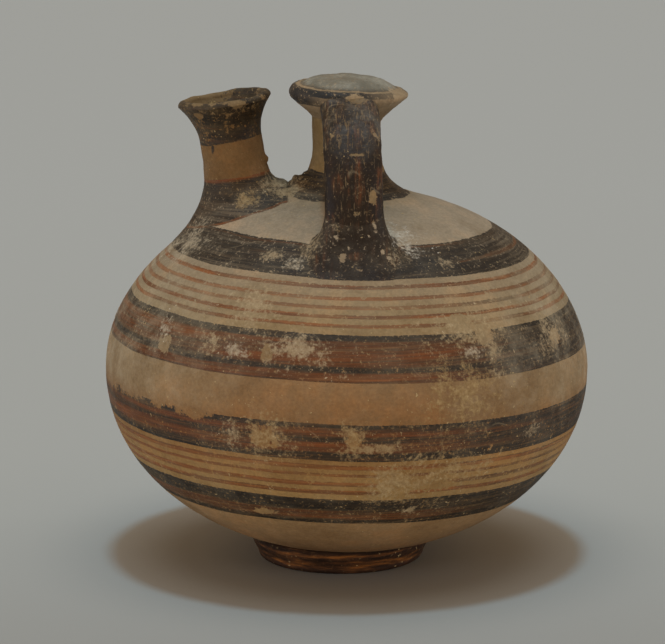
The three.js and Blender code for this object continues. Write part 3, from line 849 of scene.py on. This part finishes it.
def strap_slip():
    """Thick iron slip on a pulled strap: dark, with a dull sheen, and scratched lengthways.

    Scratches are about 0.15 mm wide, and are drawn 0.4 mm so that they show."""
    material, add, shader, place = start_finish("pulled_clay_strap_in_dark_slip")
    height = add("SeparateXYZ", None, [place]).outputs["Z"]
    # Towards its top the strap is greyed, partly dust and partly painted sheen, and more of its
    # slip is nicked off
    top_dust_and_sheen = add("MapRange", None, [height, 109, 118, 0, 0.35])
    nicks = add("TexNoise", None, streaks(add, place, (0.4, 3.4, 3.4), rough=0.7))
    nicked = add("Math", "MULTIPLY_ADD", [top_dust_and_sheen, 0.16, nicks])
    cover = add("MapRange", SOFT_EDGE, [nicked, 0.6, 0.66, 1.0, 0.35])
    clay = bare_clay(add, place, STRAP_CLAY)
    slip = strap_strokes(add, place)
    worn = aged(add, place, clay, slip, cover, 0.48, 0.3, haze="#85827a", hazing=top_dust_and_sheen)
    close_finish(add, shader, place, worn, slip_rough=0.55)
    return material


def disc_slip():
    """Slip on the disc, rubbed back to the clay on its rim and grey on its top, partly dust and
    partly painted sheen.
    """
    material, add, shader, place = start_finish("thrown_clay_disc_in_rubbed_slip")
    on_disc = add("VectorMath", "SUBTRACT", [place, (DISC_OFFSET, 0, 0)])
    reach = off_axis(add, on_disc)
    swayed = add("Math", "ADD", [reach, wavering(add, place, 5, 4.0, 0.9)])
    share = add("Math", "MULTIPLY", [swayed, 0.05])
    stops = [
        (0.0, 0.85), (0.56, 0.9), (0.62, 0.85), (0.64, 0.12), (0.675, 0.1),
        (0.69, 0.95), (0.72, 1.0), (0.78, 1.0),
    ]
    rings = add("ValToRGB", {"stops": stops}, [share])

    # Hands rubbed most of the slip off the rim's right side, and off its lower edge in front
    tilt = -math.tan(DISC_TILT)
    upper = past_plane(add, place, tilt, DISC_HEIGHT + 0.3, 0.5)
    start = add("MapRange", None, [upper, 0, 1, -7, 9.5])
    end = add("Math", "ADD", [start, 9])
    across = add("VectorMath", "DOT_PRODUCT", [on_disc, (1, -0.4, 0)])
    outer = add("MapRange", None, [reach, 11.5, 13.0])
    handled = add("MapRange", None, [across, start, end, 0, outer])
    left_on = add("MapRange", None, [handled, 0, 1, 1.0, 0.2])
    even = add("Math", "MULTIPLY", [rings, left_on])
    thinned = patches(add, mottled(place, 5.5, 6.0, 0.7), 0.42, 0.6, 1.0, 0.9, SOFT_EDGE)
    rubbed = add("Math", "MULTIPLY", [even, thinned])
    top = past_plane(add, place, tilt, DISC_HEIGHT - 2.4, 0.5)
    cover = add("Math", "MULTIPLY", [rubbed, top])

    # The top inside the rim is greyed, partly dust and partly painted sheen
    inside_rim = add("MapRange", None, [reach, 11, 12.6, 0.85, 0.0])
    top_inside_rim = add("Math", "MULTIPLY", [inside_rim, top])
    grey_haze = add("Math", "MULTIPLY", [top_inside_rim, 0.68])
    dark = slip_colour(add, place, 0.05, thick="#22211f")
    slip = add("Mix", COLOURS, [grey_haze, dark, linear("#6e6c5e")])
    clay = bare_clay(add, place, DISC_CLAY)
    worn = aged(add, place, clay, slip, cover, 0.51, haze="#9e9c8d", hazing=grey_haze)
    close_finish(add, shader, place, worn)
    return material


def foot_slip():
    """Red-brown slip, brushed thin and streaky round the ring foot."""
    material, add, shader, place = start_finish("turned_clay_foot_in_streaky_slip")
    level = add("VectorMath", "DOT_PRODUCT", [place, (0, 0, 0.1)])
    stops = [
        (0.0, 0.1), (0.1, 0.15), (0.2, 0.55), (0.34, 0.6), (0.4, 0.2),
        (0.46, 0.2), (0.5, 0.6), (0.55, 0.5), (0.6, 0.05),
    ]
    rings = add("ValToRGB", {"stops": stops}, [level])
    brushed = patches(add, wheel_strokes(add, place, 9, 1.3), 0.34, 0.68, -0.22, 0.58)
    thinness = add("Math", "MULTIPLY", [rings, 0.7])
    mixed = add("Math", {"operation": "ADD", "use_clamp": True}, [thinness, brushed])
    stops = [
        (0.0, "#1f1209"), (0.4, "#311e10"), (0.65, "#4b2e16"), (0.85, "#633d1a"), (1.0, "#784b21"),
    ]
    slip = add("ValToRGB", {"stops": stops}, [mixed])
    on_foot = add("VectorMath", "ADD", [place, (FOOT_OFFSET, 0, 0)])
    reach = off_axis(add, on_foot)
    outside = add("MapRange", None, [reach, 18.6, 19.4])
    clay = bare_clay(add, place, FOOT_CLAY)
    worn = aged(add, place, clay, slip, outside, 0.44, 0.15, hazing=0.0)
    close_finish(add, shader, place, worn)
    return material


# The pieces


def make_bowl(finish):
    """The thrown lower half of the body, closed at its foot and open at the belly."""
    turn = np.linspace(-math.pi / 2, 0, 110)
    level = np.cos(turn) ** BOWL_FULLNESS
    down = np.abs(np.sin(turn)) ** BOWL_FULLNESS
    inside = BELLY_RADIUS - BODY_WALL
    inside_depth = BOWL_DEPTH - BODY_WALL
    outer = list(zip(BELLY_RADIUS * level, BELLY_HEIGHT - BOWL_DEPTH * down))
    inner = list(zip(inside * level[::-4], BELLY_HEIGHT - inside_depth * down[::-4]))
    outer[0] = (0, outer[0][1])
    inner.append((0, BELLY_HEIGHT - inside_depth))
    piece = skin("bowl_of_body", turned(outer + inner, 384))
    finish_piece(piece, "lower_body", finish)


def make_dome(finish):
    """The thrown upper half of the body, with holes for the false neck and the spout."""
    hole = 6.6
    inside = BELLY_RADIUS - BODY_WALL
    inside_rise = SHOULDER_RISE - BODY_WALL
    top = math.acos(hole / BELLY_RADIUS)
    outer = arc(0, BELLY_HEIGHT, BELLY_RADIUS, SHOULDER_RISE, 0, top, 110)
    inner = arc(0, BELLY_HEIGHT, inside, inside_rise, math.acos(hole / inside), 0, 28)
    piece = skin("dome_of_body", turned(outer + inner, 384), joined=True)
    under_shoulder, in_tube = spout_point(0, 0, -35), spout_point(0, 0, -8)
    bore(piece, under_shoulder, in_tube, SPOUT_BORE)
    finish_piece(piece, "upper_body", finish)


def spout_point(across, deep, along):
    """A point given on the spout's own axis, as a point on the jar."""
    sine = math.sin(SPOUT_LEAN)
    cosine = math.cos(SPOUT_LEAN)
    x = -SPOUT_REACH + across * cosine - along * sine
    return (x, deep, SPOUT_WAIST_HEIGHT + across * sine + along * cosine)


def make_spout(finish):
    """The spout's thrown tube, its flare and a lip that wore uneven."""
    foot = -21
    share = np.linspace(0, 1, 16)
    flare = SPOUT_FLARE_HEIGHT * share + 0.5
    top = flare[-1]
    widening = SPOUT_MOUTH_RADIUS - SPOUT_RADIUS
    lip_inner = SPOUT_MOUTH_RADIUS - 2 * SPOUT_LIP_ROUND
    outline = [(SPOUT_RADIUS, h) for h in np.linspace(foot, 0, 26)]
    outline += list(zip(SPOUT_RADIUS + widening * share**2, flare))[:-1]
    lip_middle = SPOUT_MOUTH_RADIUS - SPOUT_LIP_ROUND
    outline += arc(lip_middle, top, SPOUT_LIP_ROUND, SPOUT_LIP_ROUND, 0, math.pi, 14)
    outline += list(zip(SPOUT_BORE + (lip_inner - SPOUT_BORE) * share**2, flare))[:-1][::-1]
    outline += [(SPOUT_BORE, h) for h in np.linspace(0, foot, 12)]
    rings = np.array(turned(outline, AROUND))
    angle = full_turn(AROUND)
    wear = 0.2 * np.sin(2 * angle + 0.6) + 0.12 * np.sin(5 * angle + 2) + 0.06 * np.sin(11 * angle)
    high = np.clip(rings[:, :, 2] / top, 0, 1) ** 3
    rings[:, :, 2] += high * wear
    rings[:, :, :2] *= 1 + (high * wear[::-1])[:, :, None] * 0.02
    placed = np.array([[spout_point(*p) for p in ring] for ring in rings])
    # A crumb of clay on the side towards the neck
    placed = swell(placed, (-21.0, -1.0, 105.0), 0.9, (1, 0, 0))
    piece = skin("spout_tube", placed, joined=True)
    finish_piece(piece, "spout", finish, relief=0.07)


def flare_rings(axis, wall, away, rise, spread):
    """Rings of a coil smoothed from an upright's wall down on to the shoulder."""
    hug = 0.72
    below = 0.8
    corner = on_shoulder(wall, axis)
    toe = on_shoulder(wall + away * spread[:, None], axis)
    toe_up = shoulder_normal(toe)
    lift = ((toe - corner) * toe_up).sum(axis=1) / (toe_up @ axis)
    bend = corner + lift[:, None] * axis
    top = corner + rise[:, None] * axis
    ends = (top, top + (bend - top) * hug, toe + (bend - toe) * hug, toe)
    rings = [top - away * IN_WALL]
    rings += [bezier(ends, t) for t in np.linspace(0, 1, 22)]
    rings += [toe - toe_up * below, corner - away * IN_WALL - axis * below]
    return np.array(rings)


def fill_crease(rings):
    """Rounds the crease where the spout's coil and the neck's coil run into each other."""
    middle, half_width, half_length = -15.6, 3.6, 9
    bottom, fading, fill = 94, 3, 2.4
    across = np.exp(-(((rings[:, :, 0] - middle) / half_width) ** 2))
    along = np.exp(-((rings[:, :, 1] / half_length) ** 2))
    over = np.clip((rings[:, :, 2] - bottom) / fading, 0, 1)
    rings[:, :, 2] += fill * across * over * along
    return rings


def make_spout_coil(finish):
    """Clay smoothed round the spout's root, longest on its outer side."""
    angle = full_turn(AROUND)
    origin = np.array(spout_point(0, 0, 0))
    axis = np.array(spout_point(0, 0, 1)) - origin
    across = np.array(spout_point(1, 0, 0)) - origin
    away = -np.cos(angle)[:, None] * across - np.sin(angle)[:, None] * np.array([0, 1, 0])
    wall = origin - 30 * axis + away * SPOUT_RADIUS
    outward = (1 + np.cos(angle)) / 2
    rise = 11 + 4.5 * outward
    spread = 9.5 + 5 * outward
    rings = flare_rings(axis, wall, away, rise, spread)
    piece = skin("spout_root", fill_crease(rings), joined=True)
    finish_piece(piece, "spout_luting_coil", finish, relief=0.16)


def make_neck(finish):
    """The stub that closes the body's top and carries the disc."""
    bore_radius = 4
    plug = 6.4
    foot = SHOULDER_TOP - 5
    step = SHOULDER_TOP - 1
    top = NECK_TOP + 1
    outline = [(bore_radius, foot), (plug, foot), (plug, step), (NECK_RADIUS, step)]
    outline += [(NECK_RADIUS, h) for h in np.linspace(SHOULDER_TOP, top, 22)]
    outline += [(bore_radius, top)]
    piece = skin("closed_neck", turned(outline, 128), joined=True)
    finish_piece(piece, "false_neck", finish, relief=0.1)


def make_neck_coil(finish):
    """Clay smoothed round the closed neck's root, with the broken crumb beside the spout."""
    angle = full_turn(AROUND)
    away = np.stack([np.cos(angle), np.sin(angle), 0 * angle], axis=1)
    wall = away * NECK_RADIUS + [0, 0, BELLY_HEIGHT]
    rise = np.full(AROUND, 11.5)
    spread = np.full(AROUND, 12.5)
    rings = fill_crease(flare_rings(UPWARD, wall, away, rise, spread))
    rings = swell(rings, (-10.6, -1.8, 100.4), 1.3, (-0.5, -0.4, 1.1))
    rings = swell(rings, (-12.4, -1.8, 98.8), 1.3, (-1.2, -0.3, 2.0))
    rings = swell(rings, (-14.0, -1.7, 97.8), 0.9, (-0.9, -0.2, 1.2))
    piece = skin("neck_root", rings, joined=True)
    finish_piece(piece, "neck_luting_coil", finish, relief=0.16)


def make_disc(finish):
    """The disc on the closed neck: a low dome with a hollow ring inside a rubbed rim."""
    dome = DISC_RADIUS - DISC_RIM_ROUND
    under = 9.1
    in_neck = 1.5
    half_way = math.pi / 4
    outline = [(0, -DISC_UNDER_DEPTH - in_neck)]
    outline += [(under - 1 + t, -DISC_UNDER_DEPTH - in_neck * (1 - t)) for t in (0, 0.4, 0.8, 1)]
    rim = (dome + DISC_RIM_ROUND * math.cos(half_way), -DISC_RIM_RISE * math.sin(half_way))
    for t in np.linspace(0, 1, 12)[1:-1]:
        radius = under + (rim[0] - under) * t
        outline.append((radius, -DISC_UNDER_DEPTH + (rim[1] + DISC_UNDER_DEPTH) * t))
    outline += arc(dome, 0, DISC_RIM_ROUND, DISC_RIM_RISE, -half_way, math.pi / 2, 14)
    for share in np.linspace(0.97, 0, 26):
        hollow = 0.5 * math.exp(-(((share - 0.86) / 0.09) ** 2))
        outline.append((dome * share, DISC_RIM_RISE + DISC_DOME * (1 - share**2.6) - hollow))
    around = 192
    rings = np.array(turned(outline, around))
    angle = full_turn(around)
    wear = 0.3 * np.sin(2 * angle + 1) + 0.25 * np.sin(3 * angle + 2.2) + 0.14 * np.sin(9 * angle)
    edge = np.clip(np.hypot(rings[:, :, 0], rings[:, :, 1]) / DISC_RADIUS, 0, 1) ** 4
    rings[:, :, :2] *= 1 + (edge * wear)[:, :, None] * 0.015
    rings[:, :, 2] += edge * wear[::-1] * 0.4
    rings[:, :, 2] *= 1 - edge * np.clip(rings[:, :, 0] / DISC_RADIUS, 0, 1) * 0.5
    sine = math.sin(DISC_TILT)
    cosine = math.cos(DISC_TILT)
    x = rings[:, :, 0] * cosine + rings[:, :, 2] * sine + DISC_OFFSET
    z = rings[:, :, 2] * cosine - rings[:, :, 0] * sine + DISC_HEIGHT
    piece = skin("disc_on_neck", np.stack([x, rings[:, :, 1], z], axis=2))
    finish_piece(piece, "neck_disc", finish, relief=0.22)


def strap_oval(angle):
    """Half the strap's thickness and width at an angle from its outer face."""
    level, side = [np.sign(v) * np.abs(v) ** 0.8 for v in (np.cos(angle), np.sin(angle))]
    return level * STRAP_THICKNESS / 2, side * STRAP_WIDTH / 2


def turn_about_axis(points, turn):
    """Turns points about the jar's upright axis."""
    x = points[..., 0] * math.cos(turn) - points[..., 1] * math.sin(turn)
    y = points[..., 0] * math.sin(turn) + points[..., 1] * math.cos(turn)
    return np.stack([x, y, points[..., 2]], axis=-1)


def make_strap(name, node, turn, finish):
    """A pulled strap from the disc over to the shoulder, oval in section."""
    line = np.array(STRAP_LINE, float)
    thick, wide = strap_oval(full_turn(72))
    rings = []
    for t in np.linspace(0, 1, 110):
        s = 1 - t
        middle = bezier(line, t)
        along = s**2 * (line[1] - line[0]) + 2 * s * t * (line[2] - line[1])
        along = unit(along + t**2 * (line[3] - line[2]))
        reach = middle[0] - along[1] * thick
        rings.append(np.stack([wide, -reach, middle[1] + along[0] * thick], axis=1))
    rings = np.array(rings)

    # Two lobes and a thumb's dent between them where the strap meets the disc's rim
    for side, push in ((-5.2, 1.1), (0.2, -1.3), (5.4, 1.0)):
        rings = swell(rings, (side, -17.4, 122.4), 2.0, (push * side * 0.06, -0.6 * push, push))
    rings = turn_about_axis(rings, turn)
    in_shoulder = 3.2
    lowest = shoulder_height(np.hypot(rings[:, :, 0], rings[:, :, 1])) - in_shoulder
    rings[:, :, 2] = np.maximum(rings[:, :, 2], lowest)
    piece = skin(name, rings)
    finish_piece(piece, node, finish, relief=0.16)


def make_strap_coil(name, node, turn, finish):
    """Clay smoothed round a strap's root."""
    angle = full_turn(AROUND)
    step = math.pi / 32
    thick, wide = strap_oval(angle)
    ahead = strap_oval(angle + step)
    behind = strap_oval(angle - step)
    away = unit(np.stack([behind[0] - ahead[0], behind[1] - ahead[1], 0 * angle], axis=1))
    wall = np.stack([wide, -STRAP_ROOT_REACH - thick, 0 * angle + BELLY_HEIGHT], axis=1)
    outward = (1 + np.cos(angle)) / 2
    sideways = np.sin(angle) ** 2
    rise = 8 + 5 * outward + 4 * sideways
    spread = 6 + 2 * outward + 1.5 * sideways
    rings = flare_rings(UPWARD, wall, away, rise, spread)

    # The strap bows in a little above its root, and the coil follows it near its wall
    middle = bezier(np.array(STRAP_LINE, float), np.linspace(0.4, 1, 60)[:, None])
    bow = STRAP_ROOT_REACH - np.interp(rings[1:-2, :, 2], middle[::-1, 1], middle[::-1, 0])
    off_wall = ((rings[1:-2] - wall) * away).sum(axis=2)
    near = np.clip(1 - off_wall / spread, 0, 1)
    rings[1:-2, :, 1] += bow * near
    rings[1:-2] -= away * 0.25 * near[:, :, None] ** 6
    rings[0] = rings[1] - away * IN_WALL
    piece = skin(name, turn_about_axis(rings, turn), joined=True)
    finish_piece(piece, node, finish, relief=0.16)


def make_foot(finish):
    """The ring foot, turned narrower towards the ground and luted a little off the axis."""
    inner = FOOT_RADIUS - FOOT_WIDTH
    rounding = 1.5
    ground_edge = FOOT_RADIUS - 1.7
    outline = [(inner, 0), (inner + 1.5, 0)]
    outline += arc(ground_edge - rounding, rounding, rounding, rounding, -math.pi / 2, 0, 10)
    outside = [(-1.15, 2.8), (-0.5, 3.9), (-0.1, 5.0), (0.1, 6.1), (0.6, 6.75), (-0.4, 7.4)]
    outline += [(FOOT_RADIUS + out, height) for out, height in outside]
    outline += [(inner - 1, 5.6), (inner - 0.6, 3)]
    piece = skin("ring_foot", turned(outline, 192, -FOOT_OFFSET), joined=True)
    finish_piece(piece, "foot_ring", finish, relief=0.12)


def make_stage():
    """A sheet of pale paper that runs far behind the jar, and shows grey in the picture."""
    form = bmesh.new()
    bmesh.ops.create_circle(form, cap_ends=True, segments=96, radius=5)
    floor = put_form("floor", form)
    material, add, shader, place = start_finish("matt_pale_paper")
    # Painted shade: the paper is drawn darker towards the front, -Y
    depth = add("VectorMath", "DOT_PRODUCT", [place, (0, MM, 0)])
    share = add("MapRange", None, [depth, -0.2, 0.6])
    stops = [(0.0, "#807e78"), (0.3, "#9a9a94"), (1.0, "#9c9c97")]
    tone = add("ValToRGB", {"stops": stops}, [share])
    path = add("LightPath").outputs
    direct = add("Math", "MAXIMUM", [path["Is Camera Ray"], path["Is Glossy Ray"]])
    seen = add("Math", "MAXIMUM", [direct, path["Is Transmission Ray"]])
    sheet = add("Mix", COLOURS, [seen, linear("#d6d6d2"), tone])
    feed(shader, {"Base Color": sheet, "Roughness": 0.9, "Specular IOR Level": 0.1})
    floor.data.materials.append(material)


def add_panel(name, place, size, power, shade):
    """A soft panel lamp that looks at the jar's middle."""
    panel = bpy.data.lights.new(name, "AREA")
    panel.energy = power
    panel.color = linear(shade)[:3]
    panel.shape = "RECTANGLE"
    panel.size, panel.size_y = size
    lamp = put_in_scene(name, panel)
    lamp.location = place
    toward = Vector((0, 0, 0.05)) - Vector(place)
    lamp.rotation_euler = toward.to_track_quat("-Z", "Y").to_euler()


def make_light():
    """A cool lamp and a wide pale one above, warm light all round, low panels on three sides.

    On a level surface they add up to a neutral light of strength 1."""
    for name, power, shade, angle in (
        ("overhead_lamp", 1.43, (0.41, 0.73, 1.0), 6),
        ("pale_ceiling", 1.06, (1.0, 1.0, 1.0), 50),
    ):
        sun = bpy.data.lights.new(name, "SUN")
        sun.energy = power
        sun.color = shade
        sun.angle = math.radians(angle)
        put_in_scene(name, sun).rotation_euler = (math.radians(5.7), 0, 0)
    add_panel("front_light", (0, -2.2, 0.16), (2.6, 0.28), 12, "#ffdfb4")
    add_panel("left_light", (-2.1, -0.8, 0.16), (1.4, 0.28), 21, "#dce9ff")
    add_panel("right_light", (2.1, -0.8, 0.16), (1.4, 0.28), 17.5, "#dce9ff")
    world = bpy.data.worlds.new("room")
    world.use_nodes = True
    air = world.node_tree.nodes["Background"]
    air.inputs["Color"].default_value = (1.0, 0.71, 0.46, 1)
    air.inputs["Strength"].default_value = 0.48
    bpy.context.scene.world = world


def make_camera():
    """The camera, in front of the jar and a little above it. Its first three values are pixels."""
    picture_width = 665
    focal_length = 3360
    off_middle = 14
    above_level = 11.5
    lens = bpy.data.cameras.new("camera")
    lens.sensor_width = 36
    lens.lens = lens.sensor_width * focal_length / picture_width
    lens.shift_x = -off_middle / picture_width
    lens.clip_start = 0.05
    lens.clip_end = 20
    camera = put_in_scene("camera", lens)
    camera.location = (0, -0.855, 0.236)
    camera.rotation_euler = (math.radians(90 - above_level), 0, 0)
    bpy.context.scene.camera = camera


make_camera()
make_light()
make_stage()

banded = banded_clay()
strapped = strap_slip()
make_bowl(banded)
make_dome(banded)
make_foot(foot_slip())
make_spout(spout_clay())
make_spout_coil(banded)
make_neck(banded)
make_neck_coil(banded)
make_disc(disc_slip())
make_strap("front_strap", "front_handle", STRAP_TURN, strapped)
make_strap("rear_strap", "rear_handle", STRAP_TURN + math.pi, strapped)
make_strap_coil("front_strap_root", "front_handle_luting_coil", STRAP_TURN, banded)
make_strap_coil("rear_strap_root", "rear_handle_luting_coil", STRAP_TURN + math.pi, banded)

bpy.context.scene.view_settings.view_transform = "Standard"
bpy.context.view_layer.update()
